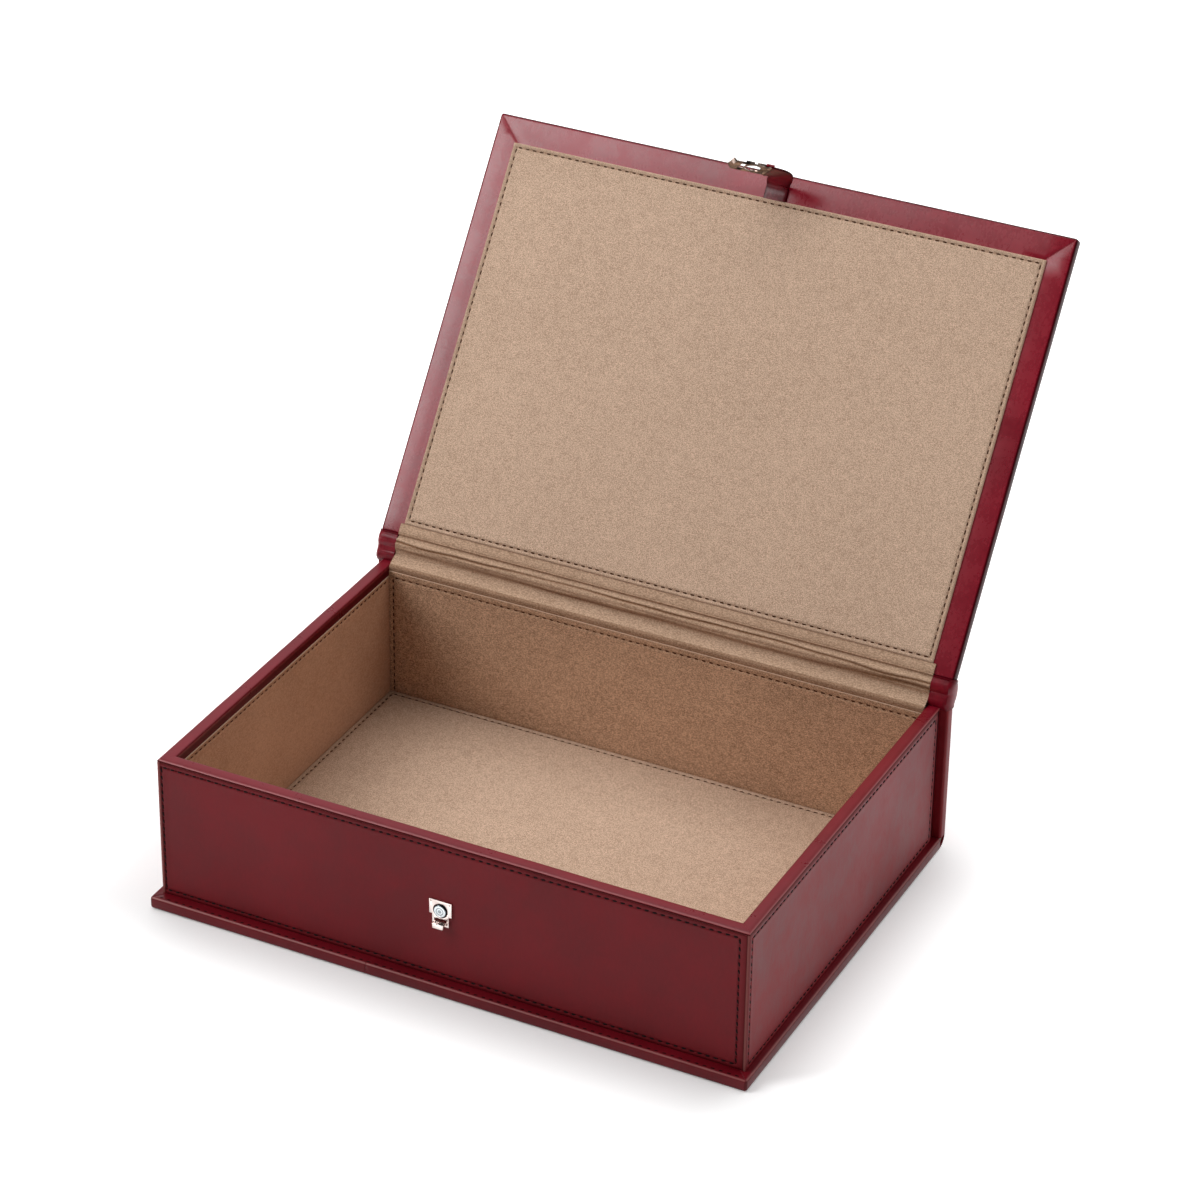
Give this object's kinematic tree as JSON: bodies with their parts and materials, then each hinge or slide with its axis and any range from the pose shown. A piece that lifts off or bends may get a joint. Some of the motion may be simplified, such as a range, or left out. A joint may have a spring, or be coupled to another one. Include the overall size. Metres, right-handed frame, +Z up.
{
  "type": "document box",
  "caption": "Book-style leather storage box for sheets of paper: an open suede-lined tray on a wider base, a spine, a hinged lid, and a strap that closes on a push-button catch.",
  "frame": {"origin": "centre of the flat underside of the base and spine, on the surface the box stands on", "axes": "+X along the width of the box to its right end seen from the front, +Y from the front to the spine, +Z up; the lid is stored open, as pictured"},
  "size_m": [0.336, 0.3864, 0.3174],
  "materials": {
    "leather": "burgundy bridle leather, satin",
    "leather_rim": "burgundy bridle leather, burnished",
    "suede": "tan suede-like microfibre on card",
    "board": "dense grey binder's board",
    "thread": "waxed brown thread",
    "nickel": "polished nickel plate"
  },
  "bodies": {
    "tray": {"base_board": "board", "base_cover": "leather", "spine_board": "board", "spine_cover": "leather", "joint_leather": "leather", "wall_front": "board", "wall_back": "board", "wall_left": "board", "wall_right": "board", "rim_front": "leather_rim", "rim_left": "leather_rim", "rim_right": "leather_rim", "panel_front": "leather", "panel_left": "leather", "panel_right": "leather", "lining_floor": "suede", "lining_front": "suede", "lining_back": "suede", "lining_left": "suede", "lining_right": "suede", "thread_panels": "thread", "thread_linings": "thread", "thread_base": "thread", "hinge_leather": "leather", "hinge_tabs": "leather_rim", "hinge_suede": "suede", "lock_plate": "nickel", "lock_case": "nickel", "lock_rivets": "nickel", "catch_spring": "nickel"},
    "lid": {"hinge_strip": "suede", "lid_board": "board", "lid_cover": "leather", "lid_panel": "suede", "thread_lid": "thread", "strap_root": "leather"},
    "strap": {"strap": "leather"},
    "hasp": {"hasp_plate": "nickel", "hasp_rivets": "nickel", "hasp_backing": "leather"},
    "button": {"lock_button": "nickel"},
    "catch": {"lock_catch": "nickel"}
  },
  "joints": [
    {"name": "lid_hinge", "type": "hinge", "parent": "tray", "child": "lid", "pos_m": [0, 0.1203, 0.0934], "axis": [1, 0, 0], "range_deg": [0, 125.9], "deforming": ["hinge_leather", "hinge_tabs", "hinge_suede"]},
    {"name": "strap_lift", "type": "hinge", "parent": "lid", "child": "strap", "pos_m": [0, 0.25475, 0.28902], "axis": [-1, 0, 0], "range_deg": [0, 75]},
    {"name": "hasp_flex", "type": "hinge", "parent": "strap", "child": "hasp", "pos_m": [0.0023, 0.22438, 0.31205], "axis": [0, 0.8203, 0.5719], "range_deg": [0, 52], "deforming": ["strap"]},
    {"name": "button_press", "type": "slide", "parent": "tray", "child": "button", "axis": [0, 1, 0], "range_m": [0, 0.0014], "stiffness_N_per_m": 400, "springref_m": -0.002},
    {"name": "catch_lift", "type": "slide", "parent": "tray", "child": "catch", "axis": [0, 0, 1], "range_m": [0, 0.0012], "deforming": ["catch_spring"]}
  ],
  "couplings": [
    {"joint": "hasp_flex", "follows": "lid_hinge", "ratio": 0.413},
    {"joint": "catch_lift", "follows": "button_press", "ratio": 0.857}
  ]
}
